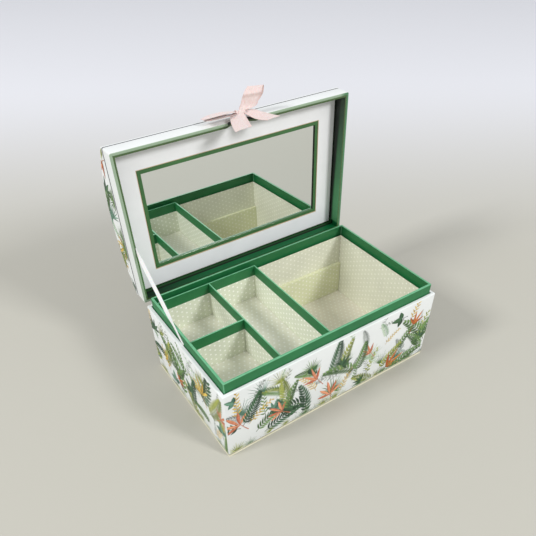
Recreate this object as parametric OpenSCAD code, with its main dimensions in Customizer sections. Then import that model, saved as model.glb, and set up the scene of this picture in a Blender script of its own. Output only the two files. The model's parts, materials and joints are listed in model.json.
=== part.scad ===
// Paper-covered vanity box with a hinged lid and a mirror inside the lid.
// Millimetres, +Z up. The origin is the middle of the base's underside, and
// the box opens towards -Y. The lid stands open, held by its stay ribbon.

/* [Base box] */
// Width of the box from side to side
body_w = 260; // [220:1:300]
// Depth of the box from front to back
body_d = 156; // [130:1:190]
// Height of the outer walls' top edge above the table
base_h = 86; // [70:1:110]
// Thickness of the base's outer wall boards
wall_t = 3.4; // [2.5:0.1:4]
// Thickness of the bottom board
bottom_t = 3.2; // [2.5:0.1:4]
// Radius of the paper-wrapped outer corners
corner_r = 1.6; // [0.8:0.1:2.2]

/* [Green collar] */
// Thickness of the collar boards
collar_t = 2.3; // [1.5:0.1:3]
// Gap between the outer walls and the collar, where the stay ribbon goes in
collar_gap = 0.9; // [0.7:0.05:1.2]
// Height of the collar above the outer walls
collar_rise = 11; // [7:0.5:15]
// Radius of the collar's outer corners
collar_corner_r = 1.2; // [0.5:0.1:1.8]

/* [Linings and floor] */
// Thickness of the floor board
floor_t = 1; // [0.8:0.1:2]
// Thickness of the dotted lining cards
lining_t = 0.4; // [0.3:0.1:0.8]
// Depth of the green band left bare above the lining cards
green_band = 12.5; // [8:0.5:18]
// Clearance between pieces that are laid in beside each other
fit_gap = 0.2; // [0.1:0.05:0.3]

/* [Tray and ledges] */
// Thickness of the tray's boards and dividers
insert_t = 1.4; // [1:0.1:2]
// Clearance between the tray and the collar
insert_gap = 1.2; // [0.5:0.1:2]
// Drop of the tray's top edge below the collar's top edge
insert_drop = 6; // [3:0.5:9]
// Place of the large divider's middle, left of the box's middle
large_divider_left = 3; // [-10:0.5:15]
// Place of the middle divider's middle, left of the box's middle
middle_divider_left = 61; // [50:0.5:70]
// Place of the short divider's middle, in front of the box's middle
short_divider_front = 3; // [-10:0.5:15]
// Thickness of the two ledges that carry the tray
ledge_t = 4; // [3:0.5:6]
// Height of the ledges above the floor
ledge_h = 43; // [30:1:55]

/* [Lid] */
// Angle at which the lid stands open
open_angle = 91; // [80:1:100]
// Gap between the base's top edge and the closed lid's rim
rim_gap = 0.3; // [0.2:0.05:0.6]
// Height of the lid's straight walls
lid_wall_h = 16.7; // [16:0.1:20]
// Thickness of the lid's wall boards
lid_wall_t = 2.6; // [2:0.1:3]
// Thickness of the green cards inside the lid's walls
rim_card_t = 0.8; // [0.5:0.1:0.8]
// Thickness of the dark edge board under the arched top
keyline_t = 0.8; // [0.5:0.1:1.5]
// Inset of the dark edge board behind the lid's faces
keyline_inset = 0.3; // [0.1:0.1:0.6]
// Straight foot of the arched top
arch_foot = 1.6; // [1:0.1:3]
// Rise of the arch above its foot
arch_rise = 24.5; // [18:0.5:30]
// Thickness of the arched board and its end boards
arch_t = 2.2; // [1.5:0.1:3]
// Width of the thumb notch at the rim
notch_w = 31; // [24:1:40]
// Depth of the thumb notch
notch_h = 5; // [4:0.5:6]

/* [Mirror] */
// Width of the mirror that shows
mirror_w = 201; // [160:1:210]
// Height of the mirror that shows
mirror_h = 97; // [70:1:105]
// Offset of the mirror towards the hinge
mirror_offset = 2; // [-3:0.5:5]
// Width of the green bezel
bezel_w = 3.7; // [3:0.1:8]
// Thickness of the white panel round the mirror
panel_t = 2; // [1.2:0.1:2.2]
// Setback of the bezel's face behind the panel's face
bezel_setback = 0.3; // [0.1:0.1:0.6]
// Thickness of the mirror glass
glass_t = 2; // [1.5:0.1:3]
// Overlap of the glass behind the bezel and the panel
glass_lap = 4; // [1:0.5:6]
// Thickness of the mirror's backing card
backing_t = 2; // [1:0.1:3]
// Margin of the backing card round the glass
backing_margin = 4; // [1:0.5:6]

/* [Hinge cloth and stay ribbon] */
// Thickness of the hinge cloth
cloth_t = 0.5; // [0.3:0.1:0.8]
// Width of cloth glued to each side of the fold
cloth_flap = 12; // [8:0.5:16]
// Length of the hinge cloth
cloth_len = 248; // [200:1:252]
// Distance that the cloth's fold stands out behind the walls and below the rim
cloth_fold = 2; // [0.5:0.1:3]
// Width of the stay ribbon
stay_w = 5; // [3:0.5:8]
// Thickness of the stay ribbon
stay_t = 0.4; // [0.3:0.05:0.5]
// Distance of the stay's lower end behind the front face
stay_base_y = 80.6; // [60:0.5:100]
// Distance of the stay's upper end from the hinge line
stay_lid_reach = 66; // [50:1:80]
// Depth of the stay's upper end behind the lid's rim
stay_lid_depth = 3; // [2.5:0.5:4]
// Length of ribbon glued into the base and into the lid
stay_tail = 9; // [6:1:9]

/* [Bow] */
// Width of the satin ribbon
ribbon_w = 15; // [10:0.5:18]
// Thickness of the satin ribbon
ribbon_t = 0.6; // [0.4:0.1:0.8]
// Height of the knot's middle above the lid's rim
knot_up = 9.5; // [9:0.5:11]
// Width of the knot
knot_w = 9; // [7:0.5:12]
// Height of the knot
knot_h = 8; // [7:0.5:10]
// Depth of the knot in front of the lid
knot_deep = 6; // [5:0.5:8]
// Length of the loop that stands out from the lid
stand_loop_len = 19; // [15:1:26]
// Gap between the two layers of the standing loop
stand_loop_gap = 4; // [2:0.5:5]
// Lean of the standing loop to the right
stand_loop_lean = 18; // [0:1:30]
// Length of the loop that lies beside the knot
side_loop_len = 28; // [20:1:34]
// Gap between the two layers of the lying loop
side_loop_gap = 4; // [2:0.5:4.5]
// Length of the left tail below the knot's middle
left_tail_len = 39; // [28:1:44]
// Lean of the left tail
left_tail_lean = 16; // [0:1:30]
// Length of the right tail below the knot's middle
right_tail_len = 35; // [28:1:46]
// Lean of the right tail
right_tail_lean = 32; // [20:1:50]

/* [Hidden] */
$fn = 96;
bend_fn = 32;
knot_fn = 20;
arch_fn = 384;

// Inner faces of the base
collar_w = body_w - 2 * (wall_t + collar_gap);
collar_d = body_d - 2 * (wall_t + collar_gap);
collar_top = base_h + collar_rise;
well_w = collar_w - 2 * collar_t;
well_d = collar_d - 2 * collar_t;
floor_top = bottom_t + floor_t;
lining_top = collar_top - green_band;

// Tray of small compartments, which stands on two ledges
insert_top = collar_top - insert_drop;
tray_z = floor_top + ledge_h;
tray_floor_top = tray_z + insert_t;
insert_h = insert_top - tray_z;
divider_h = insert_top - tray_floor_top;
insert_left_x = -well_w / 2 + insert_gap;
insert_face_y = well_d / 2 - insert_gap;
insert_in_y = insert_face_y - insert_t;
large_x = -large_divider_left;
middle_x = -middle_divider_left;
short_y = -short_divider_front;

// Lid, designed closed above the base and then turned open about the hinge
rim_z = base_h + rim_gap;
hinge_y = body_d / 2 + cloth_t + cloth_fold;
hinge_z = base_h + rim_gap / 2 - cloth_fold;
lid_wall_top = rim_z + lid_wall_h;
lid_in_w = body_w - 2 * lid_wall_t;
lid_in_d = body_d - 2 * lid_wall_t;
recess_w = lid_in_w - 2 * rim_card_t;
recess_d = lid_in_d - 2 * rim_card_t;
keyline_top = lid_wall_top + keyline_t;
arch_spring = keyline_top + arch_foot;
arch_r = (pow(body_d / 2, 2) + pow(arch_rise, 2)) / (2 * arch_rise);
arch_centre_z = arch_spring + arch_rise - arch_r;
notch_r = (pow(notch_w / 2, 2) + pow(notch_h, 2)) / (2 * notch_h);

// Mirror stack, from the panel's face towards the arch
panel_z = lid_wall_top;
panel_back = panel_z + panel_t;
bezel_out_w = mirror_w + 2 * bezel_w;
bezel_out_h = mirror_h + 2 * bezel_w;
glass_w = bezel_out_w + 2 * glass_lap;
glass_h = bezel_out_h + 2 * glass_lap;

// Hinge cloth and stay ribbon
stay_x = -body_w / 2 + wall_t + collar_gap / 2;
stay_low_y = -body_d / 2 + stay_base_y;
stay_high_x = -recess_w / 2 + stay_t / 2;
stay_high = turned([hinge_y - stay_lid_reach, rim_z + stay_lid_depth]);
stay_run = [stay_high[0] - stay_low_y, stay_high[1] - base_h];
stay_len = norm(stay_run);
stay_slope = atan2(stay_run[1], stay_run[0]);

// Bow, placed from the knot on the lid's front face
front_y = -body_d / 2;
knot_z = rim_z + knot_up;
anchor_t = 0.3;
knot_back_y = front_y - anchor_t;
left_tail_y = knot_back_y - knot_deep / 2;
right_tail_y = left_tail_y + ribbon_t + fit_gap;
knot_depth_at_loop = knot_deep * sqrt(1 - pow(stand_loop_gap / knot_h, 2));

paper_white = [0.93, 0.94, 0.94];
paper_cream = [0.86, 0.85, 0.75];
paper_green = [0.16, 0.45, 0.29];
paper_dots = [0.80, 0.80, 0.70];
keyline_grey = [0.35, 0.36, 0.36];
card_grey = [0.62, 0.60, 0.56];
satin_pink = [0.95, 0.84, 0.81];
ribbon_white = [0.95, 0.95, 0.95];
silver = [0.80, 0.83, 0.84];

// Where a point [y, z] of the closed lid stands when the lid is open
function turned(p) = [
  hinge_y + (p[0] - hinge_y) * cos(open_angle) + (p[1] - hinge_z) * sin(open_angle),
  hinge_z - (p[0] - hinge_y) * sin(open_angle) + (p[1] - hinge_z) * cos(open_angle)
];

// Turns what is drawn in the closed lid's place to the open lid's place
module on_open_lid() {
  translate([0, hinge_y, hinge_z])
    rotate([-open_angle, 0, 0])
      translate([0, -hinge_y, -hinge_z])
        children();
}

// Flat rectangle with round corners
module rounded_rect(w, d, r) {
  square([w - 2 * r, d], center = true);
  square([w, d - 2 * r], center = true);
  for (sx = [-1, 1], sy = [-1, 1])
    translate([sx * (w / 2 - r), sy * (d / 2 - r)]) circle(r = r);
}

// One side of a frame of boards with mitred ends, along the front, standing h high
module front_board(w, d, t, h, r) {
  linear_extrude(h)
    intersection() {
      polygon([[-w / 2, -d / 2], [w / 2, -d / 2], [w / 2 - t, -d / 2 + t], [-w / 2 + t, -d / 2 + t]]);
      rounded_rect(w, d, r);
    }
}

// The named side of a mitred frame of boards
module side_board(side, w, d, t, h, r) {
  if (side == "front") front_board(w, d, t, h, r);
  if (side == "back") rotate([0, 0, 180]) front_board(w, d, t, h, r);
  if (side == "right") rotate([0, 0, 90]) front_board(d, w, t, h, r);
  if (side == "left") rotate([0, 0, -90]) front_board(d, w, t, h, r);
}

// A board given by its lowest corner and its size
module board(corner, size) {
  translate(corner) cube(size);
}

// A flat frame round a window
module window_frame(w, d, hole_w, hole_d, t) {
  difference() {
    translate([-w / 2, -d / 2, 0]) cube([w, d, t]);
    translate([-hole_w / 2, -hole_d / 2, -t]) cube([hole_w, hole_d, 3 * t]);
  }
}

// Base box
module base_board() {
  color(paper_cream) linear_extrude(bottom_t) rounded_rect(body_w, body_d, corner_r);
}

module base_wall(side) {
  color(paper_white)
    translate([0, 0, bottom_t])
      side_board(side, body_w, body_d, wall_t, base_h - bottom_t, corner_r);
}

module collar_side(side) {
  color(paper_green)
    translate([0, 0, bottom_t])
      side_board(side, collar_w, collar_d, collar_t, collar_top - bottom_t, collar_corner_r);
}

module floor_card() {
  w = well_w - 2 * fit_gap;
  d = well_d - 2 * fit_gap;
  color(paper_dots) board([-w / 2, -d / 2, bottom_t], [w, d, floor_t]);
}

// Dotted cards on the walls of the well
module lining_back() {
  w = well_w - 2 * fit_gap;
  color(paper_dots)
    board([-w / 2, well_d / 2 - lining_t, floor_top], [w, lining_t, lining_top - floor_top]);
}

module lining_front() {
  mirror([0, 1, 0]) lining_back();
}

module lining_right() {
  d = well_d - 2 * (lining_t + fit_gap);
  color(paper_dots)
    board([well_w / 2 - lining_t, -d / 2, floor_top], [lining_t, d, lining_top - floor_top]);
}

module lining_left() {
  mirror([1, 0, 0]) lining_right();
}

// Tray for the small compartments
module insert_back() {
  w = large_x - insert_t / 2 - insert_left_x;
  color(paper_green)
    board([insert_left_x, insert_in_y, tray_z], [w, insert_t, insert_h]);
}

module insert_front() {
  mirror([0, 1, 0]) insert_back();
}

module insert_left() {
  color(paper_green)
    board([insert_left_x, -insert_in_y, tray_z], [insert_t, 2 * insert_in_y, insert_h]);
}

module insert_floor() {
  x0 = insert_left_x + insert_t;
  color(paper_dots)
    board([x0, -insert_in_y, tray_z], [large_x - insert_t / 2 - x0, 2 * insert_in_y, insert_t]);
}

module divider_large() {
  color(paper_green)
    board([large_x - insert_t / 2, -insert_face_y, tray_z], [insert_t, 2 * insert_face_y, insert_h]);
}

module divider_middle() {
  color(paper_green)
    board([middle_x - insert_t / 2, -insert_in_y, tray_floor_top], [insert_t, 2 * insert_in_y, divider_h]);
}

module divider_short() {
  x0 = insert_left_x + insert_t;
  w = middle_x - insert_t / 2 - x0;
  color(paper_green)
    board([x0, short_y - insert_t / 2, tray_floor_top], [w, insert_t, divider_h]);
}

// Ledges along the front and back of the well
module ledge_back() {
  w = well_w - 2 * (lining_t + fit_gap);
  color(paper_dots)
    board([-w / 2, well_d / 2 - lining_t - ledge_t, floor_top], [w, ledge_t, ledge_h]);
}

module ledge_front() {
  mirror([0, 1, 0]) ledge_back();
}

// Half of the hinge cloth: a flap glued to a wall, and its half of the fold
module cloth_half() {
  board([-cloth_len / 2, body_d / 2, 0], [cloth_len, cloth_t, cloth_flap]);
  board([-cloth_len / 2, body_d / 2, 0], [cloth_len, cloth_t + cloth_fold, cloth_t]);
}

module hinge_cloth_base() {
  color(paper_white)
    translate([0, 0, hinge_z])
      mirror([0, 0, 1])
        cloth_half();
}

module hinge_cloth_lid() {
  color(paper_white)
    on_open_lid()
      translate([0, 0, hinge_z])
        cloth_half();
}

// Lid walls with the thumb notch in the front one
module thumb_notch() {
  translate([0, -body_d / 2 + lid_wall_t, rim_z + notch_h - notch_r])
    rotate([90, 0, 0])
      cylinder(r = notch_r, h = 4 * lid_wall_t, center = true);
}

module lid_wall(side) {
  color(paper_white)
    on_open_lid()
      difference() {
        translate([0, 0, rim_z])
          side_board(side, body_w, body_d, lid_wall_t, lid_wall_h, corner_r);
        if (side == "front") thumb_notch();
      }
}

module rim_card(side) {
  color(paper_green)
    on_open_lid()
      difference() {
        translate([0, 0, rim_z])
          side_board(side, lid_in_w, lid_in_d, rim_card_t, lid_wall_h, rim_card_t / 4);
        if (side == "front") thumb_notch();
      }
}

// Dark edge board between the straight walls and the arched top
module keyline(side) {
  color(keyline_grey)
    on_open_lid()
      translate([0, 0, lid_wall_top])
        side_board(side, body_w - 2 * keyline_inset, body_d - 2 * keyline_inset,
                   lid_wall_t, keyline_t, corner_r);
}

// Outline of the arch at a distance inside its outer face, in Y and Z
module arch_outline(inset) {
  intersection() {
    translate([0, arch_centre_z]) circle(r = arch_r - inset, $fn = arch_fn);
    translate([-body_d / 2 + inset, keyline_top])
      square([body_d - 2 * inset, arch_foot + arch_rise]);
  }
}

// Extrudes an outline in Y and Z along X
module along_x(x0, x1) {
  translate([x0, 0, 0])
    rotate([90, 0, 90])
      linear_extrude(x1 - x0)
        children();
}

module lid_arch() {
  color(paper_white)
    on_open_lid()
      along_x(-body_w / 2, body_w / 2)
        difference() {
          arch_outline(0);
          arch_outline(arch_t);
        }
}

module lid_end(x0) {
  color(paper_white)
    on_open_lid()
      along_x(x0, x0 + arch_t)
        arch_outline(arch_t + fit_gap);
}

module mirror_panel() {
  w = body_w - 2 * (arch_t + fit_gap) - 2 * rim_card_t;
  d = recess_d - 2 * fit_gap;
  color(paper_white)
    on_open_lid()
      difference() {
        translate([-w / 2, -d / 2, panel_z]) cube([w, d, panel_t]);
        translate([0, mirror_offset, panel_z - panel_t])
          linear_extrude(3 * panel_t)
            square([bezel_out_w + 2 * fit_gap, bezel_out_h + 2 * fit_gap], center = true);
      }
}

module mirror_bezel() {
  color(paper_green)
    on_open_lid()
      translate([0, mirror_offset, panel_z + bezel_setback])
        window_frame(bezel_out_w, bezel_out_h, mirror_w, mirror_h, panel_t - bezel_setback);
}

module mirror_glass() {
  color(silver)
    on_open_lid()
      board([-glass_w / 2, mirror_offset - glass_h / 2, panel_back], [glass_w, glass_h, glass_t]);
}

module mirror_backing() {
  w = glass_w + 2 * backing_margin;
  d = glass_h + 2 * backing_margin;
  color(card_grey)
    on_open_lid()
      board([-w / 2, mirror_offset - d / 2, panel_back + glass_t], [w, d, backing_t]);
}

// Stay ribbon from the collar's left side up to the lid's left side
module stay_ribbon() {
  color(ribbon_white)
    translate([stay_x, stay_low_y, base_h])
      rotate([stay_slope, 0, 0])
        translate([-stay_t / 2, 0, -stay_w / 2])
          cube([stay_t, stay_len, stay_w]);
}

module stay_tab_base() {
  drop = stay_w / 2 + fit_gap;
  color(ribbon_white)
    board([stay_x - stay_t / 2, stay_low_y - stay_w / 2, base_h - drop - stay_tail],
          [stay_t, stay_w, stay_tail]);
}

module stay_tab_lid() {
  y = hinge_y - stay_lid_reach;
  z = rim_z + stay_lid_depth + stay_w / 2 + fit_gap;
  color(ribbon_white)
    on_open_lid()
      board([stay_high_x - stay_t / 2, y - stay_w / 2, z], [stay_t, stay_w, stay_tail]);
}

// Bow, tied on a short ribbon that is glued to the lid above the notch
module bow_anchor() {
  z0 = rim_z + notch_h + fit_gap;
  color(satin_pink)
    on_open_lid()
      board([-knot_w / 2, knot_back_y, z0], [knot_w, anchor_t, knot_z + knot_h / 2 - z0]);
}

module bow_knot() {
  color(satin_pink)
    on_open_lid()
      translate([0, knot_back_y, knot_z])
        intersection() {
          resize([knot_w, 2 * knot_deep, knot_h]) sphere(r = knot_deep, $fn = knot_fn);
          translate([-knot_w, -2 * knot_deep, -knot_h]) cube([2 * knot_w, 2 * knot_deep, 2 * knot_h]);
        }
}

// Outline of a flat band that runs out along +X, folds back and returns
module loop_outline(len, gap) {
  r = gap / 2 + ribbon_t;
  bend_x = len - r;
  difference() {
    union() {
      translate([0, -r]) square([bend_x, 2 * r]);
      translate([bend_x, 0]) circle(r = r, $fn = bend_fn);
    }
    translate([-r, -gap / 2]) square([bend_x + r, gap]);
    translate([bend_x, 0]) circle(r = gap / 2, $fn = bend_fn);
  }
}

module bow_loop_side() {
  color(satin_pink)
    on_open_lid()
      translate([-knot_w / 2 - fit_gap, knot_back_y - ribbon_t - side_loop_gap / 2, knot_z - ribbon_w / 2])
        mirror([1, 0, 0])
          linear_extrude(ribbon_w)
            loop_outline(side_loop_len, side_loop_gap);
}

module bow_loop_standing() {
  color(satin_pink)
    on_open_lid()
      translate([knot_w / 2, knot_back_y - knot_depth_at_loop - fit_gap, knot_z])
        rotate([0, 0, stand_loop_lean])
          translate([ribbon_w / 2, 0, 0])
            rotate([90, 0, -90])
              linear_extrude(ribbon_w)
                loop_outline(stand_loop_len, stand_loop_gap);
}

// A tail that hangs from the knot and leans to the left
module tail(len, lean) {
  rotate([0, lean, 0])
    translate([-ribbon_w / 2, -ribbon_t / 2, -len])
      cube([ribbon_w, ribbon_t, len - knot_h / 2 - fit_gap]);
}

module bow_tail_left() {
  color(satin_pink)
    on_open_lid()
      translate([0, left_tail_y, knot_z])
        tail(left_tail_len, left_tail_lean);
}

module bow_tail_right() {
  color(satin_pink)
    on_open_lid()
      translate([0, right_tail_y, knot_z])
        tail(right_tail_len, -right_tail_lean);
}

base_board();
base_wall("front");  // base_wall_front
base_wall("back");  // base_wall_back
base_wall("left");  // base_wall_left
base_wall("right");  // base_wall_right
collar_side("front");  // collar_front
collar_side("back");  // collar_back
collar_side("left");  // collar_left
collar_side("right");  // collar_right
floor_card();
lining_back();
lining_front();
lining_left();
lining_right();
insert_back();
insert_front();
insert_left();
insert_floor();
divider_large();
divider_middle();
divider_short();
ledge_back();
ledge_front();
hinge_cloth_base();
hinge_cloth_lid();
lid_wall("front");  // lid_wall_front
lid_wall("back");  // lid_wall_back
lid_wall("left");  // lid_wall_left
lid_wall("right");  // lid_wall_right
rim_card("front");  // rim_card_front
rim_card("back");  // rim_card_back
rim_card("left");  // rim_card_left
rim_card("right");  // rim_card_right
keyline("front");  // keyline_front
keyline("back");  // keyline_back
keyline("left");  // keyline_left
keyline("right");  // keyline_right
lid_arch();
lid_end(-body_w / 2);  // lid_end_left
lid_end(body_w / 2 - arch_t);  // lid_end_right
mirror_panel();
mirror_bezel();
mirror_glass();
mirror_backing();
stay_ribbon();
stay_tab_base();
stay_tab_lid();
bow_anchor();
bow_knot();
bow_loop_side();
bow_loop_standing();
bow_tail_left();
bow_tail_right();
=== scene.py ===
# %% [markdown]
# A paper-covered vanity box. Its lid stands open on a white ribbon, with a mirror inside and a
# satin bow on its front edge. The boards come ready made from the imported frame, at their real
# sizes. This script gives them their papers, and adds what a frame of boards can't hold: the
# ribbons, the hinge cloth, the paper that wraps the corners and the printed foliage.

import json
import math
import random

import bmesh
import bpy
import numpy as np
from mathutils import Matrix, Vector

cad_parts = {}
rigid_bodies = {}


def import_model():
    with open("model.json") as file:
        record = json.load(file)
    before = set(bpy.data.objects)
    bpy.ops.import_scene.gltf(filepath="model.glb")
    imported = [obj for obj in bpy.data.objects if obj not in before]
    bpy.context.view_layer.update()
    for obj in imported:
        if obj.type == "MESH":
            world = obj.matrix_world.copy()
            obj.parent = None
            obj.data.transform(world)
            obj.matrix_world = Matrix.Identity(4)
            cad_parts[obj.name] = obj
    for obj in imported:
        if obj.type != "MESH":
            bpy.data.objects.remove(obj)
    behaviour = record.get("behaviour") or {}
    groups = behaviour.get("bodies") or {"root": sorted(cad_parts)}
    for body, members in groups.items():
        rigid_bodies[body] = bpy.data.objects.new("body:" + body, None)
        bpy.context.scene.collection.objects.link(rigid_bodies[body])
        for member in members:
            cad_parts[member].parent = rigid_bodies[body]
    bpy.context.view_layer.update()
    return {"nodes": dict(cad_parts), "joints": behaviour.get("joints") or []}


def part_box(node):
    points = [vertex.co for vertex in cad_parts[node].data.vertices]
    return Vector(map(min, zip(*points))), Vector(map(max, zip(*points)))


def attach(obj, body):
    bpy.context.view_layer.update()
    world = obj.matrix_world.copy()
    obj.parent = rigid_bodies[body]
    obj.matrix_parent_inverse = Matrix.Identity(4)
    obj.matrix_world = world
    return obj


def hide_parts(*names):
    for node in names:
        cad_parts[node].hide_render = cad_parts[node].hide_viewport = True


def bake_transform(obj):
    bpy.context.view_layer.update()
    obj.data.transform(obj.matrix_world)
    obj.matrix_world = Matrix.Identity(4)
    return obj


for leftover in list(bpy.data.objects):
    bpy.data.objects.remove(leftover, do_unlink=True)
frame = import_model()
boards = frame["nodes"]
MM = 0.001

# %% [markdown]
# The lid is packed in its open place, so its pieces are easier to think about with the lid shut.
# One matrix opens a shut point about the hinge and its inverse shuts an open one. Both come from
# the frame's own joint, so they can't disagree with the boards.

# %% The lid's turn
hinge = frame["joints"][0]
hinge_point = Vector(hinge["pos_m"])
open_angle = math.radians(max(hinge["range_deg"]))
OPEN_LID = (
    Matrix.Translation(hinge_point)
    @ Matrix.Rotation(-open_angle, 4, "X")
    @ Matrix.Translation(-hinge_point)
)
SHUT_LID = OPEN_LID.inverted()


def shut_box(node):
    """A lid board's lowest and highest corner with the lid shut, in metres."""
    points = [SHUT_LID @ vertex.co for vertex in boards[node].data.vertices]
    return [Vector([pick(p[i] for p in points) for i in range(3)]) for pick in (min, max)]


print("lid opens by", round(math.degrees(open_angle)), "degrees")

# %% [markdown]
# The camera stands where the photographer stood, to the left and above, looking down at the open
# box. A lens shift keeps the box low in the picture without tilting the camera.

# %% Camera
CAMERA_PLACE = Vector((-256.2, -352.7, 426.0)) * MM
CAMERA_YAW = math.radians(33.46)
CAMERA_PITCH = math.radians(44.81)
CAMERA_ROLL = math.radians(0.95)
eye = bpy.data.cameras.new("camera")
eye.sensor_width = 36
eye.lens = 35.18
eye.shift_x = -0.0133
eye.shift_y = 0.1765
eye.clip_start = 0.01
camera = bpy.data.objects.new("camera", eye)
bpy.context.collection.objects.link(camera)
camera.matrix_world = (
    Matrix.Translation(CAMERA_PLACE)
    @ Matrix.Rotation(-CAMERA_YAW, 4, "Z")
    @ Matrix.Rotation(math.pi / 2 - CAMERA_PITCH, 4, "X")
    @ Matrix.Rotation(-CAMERA_ROLL, 4, "Z")
)
bpy.context.scene.camera = camera
print("camera at", [round(x, 3) for x in CAMERA_PLACE])

# %% [markdown]
# A few small tools are used for every piece: choosing one object alone, because an operator acts
# on all that is selected, finishing a piece with an applied modifier, and smoothing a line that
# is given by a few chosen points.


# %% Tools for modelling
MERGE = 1e-6
FLAT_ANGLE = math.radians(1)
EDGE_ANGLE = math.radians(50)


def only(*chosen):
    """Selects these objects alone; the first is the active one."""
    bpy.ops.object.select_all(action="DESELECT")
    for each in chosen:
        each.select_set(True)
    bpy.context.view_layer.objects.active = chosen[0]


def modified(piece, kind, **settings):
    """A new modifier on a piece."""
    modifier = piece.modifiers.new(kind.title(), kind)
    for setting, value in settings.items():
        setattr(modifier, setting, value)
    return modifier


def finish_with(piece, kind, **settings):
    """Adds a modifier to a piece and applies it."""
    only(piece)
    bpy.ops.object.modifier_apply(modifier=modified(piece, kind, **settings).name)


def own_copy(thing, name):
    """A copy of an object with its own mesh, tied to nothing."""
    copy = thing.copy()
    copy.data = thing.data.copy()
    copy.parent = None
    copy.name = copy.data.name = name
    bpy.context.collection.objects.link(copy)
    return copy


def joined(pieces, name):
    """Joins pieces into one object."""
    only(*pieces)
    bpy.ops.object.join()
    whole = bpy.context.object
    whole.name = whole.data.name = name
    return whole


def smooth_line(stations, steps):
    """Points on a smooth line through the stations, with steps spans between neighbours."""
    line = []
    for i in range(len(stations) - 1):
        before = stations[max(i - 1, 0)]
        a, b = stations[i], stations[i + 1]
        after = stations[min(i + 2, len(stations) - 1)]
        for k in range(steps):
            t = k / steps
            line.append(
                0.5 * ((2 * a) + (b - before) * t + (2 * before - 5 * a + 4 * b - after) * t**2
                       + (3 * a - before - 3 * b + after) * t**3)
            )
    return line + [stations[-1]]


def paint(red, green, blue):
    """A linear colour from screen values of 0 to 255."""
    values = [c / 255 for c in (red, green, blue)]
    return (*[v / 12.92 if v < 0.04045 else ((v + 0.055) / 1.055) ** 2.4 for v in values], 1)


# %% [markdown]
# A woven ribbon is a strip between two edge lines. Making it from its edges, and not from a
# middle line with a width, lets it turn over, fold and gather at a knot. Its UV map is in
# millimetres across and along, so one weave fits every ribbon at the right scale.


# %% Ribbon maker
def ribbon(name, left_edge, right_edge, thickness, across=8, creases=None):
    """A ribbon between two edge lines; creases says how far each point stands off, in metres."""
    mesh = bmesh.new()
    uv = mesh.loops.layers.uv.new("UVMap")
    rows = []
    travel = [0.0]
    for k, (left, right) in enumerate(zip(left_edge, right_edge)):
        if k:
            step = (left + right - left_edge[k - 1] - right_edge[k - 1]).length / 2
            travel.append(travel[-1] + step)
        ahead = min(k + 1, len(left_edge) - 1)
        along = left_edge[ahead] + right_edge[ahead] - left_edge[ahead - 1] - right_edge[ahead - 1]
        outward = along.cross(right - left).normalized()
        row = []
        for i in range(across + 1):
            share = i / across
            lift = creases(share, k / (len(left_edge) - 1)) if creases else 0.0
            row.append(mesh.verts.new(left.lerp(right, share) + outward * lift))
        rows.append(row)
    for k in range(len(rows) - 1):
        for i in range(across):
            face = mesh.faces.new((rows[k][i], rows[k][i + 1], rows[k + 1][i + 1], rows[k + 1][i]))
            wide = (left_edge[k] - right_edge[k]).length / across / MM
            corners = ((i, k), (i + 1, k), (i + 1, k + 1), (i, k + 1))
            for loop, (column, line) in zip(face.loops, corners):
                loop[uv].uv = (column * wide, travel[line] / MM)
    data = bpy.data.meshes.new(name)
    mesh.to_mesh(data)
    mesh.free()
    strip = bpy.data.objects.new(name, data)
    bpy.context.collection.objects.link(strip)
    finish_with(strip, "SOLIDIFY", thickness=thickness, offset=0.0)
    only(strip)
    bpy.ops.object.shade_smooth_by_angle(angle=math.radians(60))
    strip["ribbon_length"] = travel[-1]
    return strip


# %% [markdown]
# The stay ribbon keeps the lid from falling back. It is a narrow white satin ribbon, glued into
# the slit beside the green collar and into the lid's side, and pulled straight by the lid's
# weight. Both glued ends lie flat against a board, and the free run between them is turned half
# way over.

# %% Stay ribbon
STAY_WIDTH = 5 * MM
STAY_THICKNESS = 0.4 * MM
STAY_FOOT = Vector((-126.15, 2.6, 86.0)) * MM
STAY_HEAD = Vector((-126.15, 86.8, 150.05)) * MM
STAY_TURN = math.radians(26)
STAY_POINTS = 36


def ease(value, start, end):
    """0 before start, 1 after end and a smooth change between them."""
    share = min(max((value - start) / (end - start), 0.0), 1.0)
    return share * share * (3 - 2 * share)


stay_run = STAY_HEAD - STAY_FOOT
flat_side = stay_run.cross(Vector((1, 0, 0))).normalized()
stay_line = [STAY_FOOT.lerp(STAY_HEAD, i / (STAY_POINTS - 1)) for i in range(STAY_POINTS)]
left_edge, right_edge = [], []
for i, point in enumerate(stay_line):
    along = i / (STAY_POINTS - 1)
    turned = STAY_TURN * ease(along, 0.18, 0.34) * (1 - ease(along, 0.86, 0.955))
    half = Matrix.Rotation(turned, 3, stay_run.normalized()) @ flat_side * (STAY_WIDTH / 2)
    left_edge.append(point - half)
    right_edge.append(point + half)
stay = ribbon("stay_ribbon_satin", left_edge, right_edge, STAY_THICKNESS, across=4)
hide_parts("stay_ribbon")
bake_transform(stay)
print("stay ribbon", round(stay["ribbon_length"] / MM, 1), "mm long")

# %% [markdown]
# The bow is tied from pale pink satin ribbon. One loop lies to the left along the lid's edge, one
# stands up, and two cut tails reach down in front of the thumb notch. Each is a sheet of cloth
# with its own edge lines, chosen with the lid shut: X to the right, Y towards the back, Z up.
# Near the knot the satin is gathered, so its surface gets folds that fade with distance.

# %% Bow
SATIN_THICKNESS = 0.35 * MM
SATIN_WIDTH = 15 * MM


def on_lid(points, steps=6):
    """A smooth line on the open lid through points given in millimetres with the lid shut."""
    return smooth_line([OPEN_LID @ (Vector(p) * MM) for p in points], steps)


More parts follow.
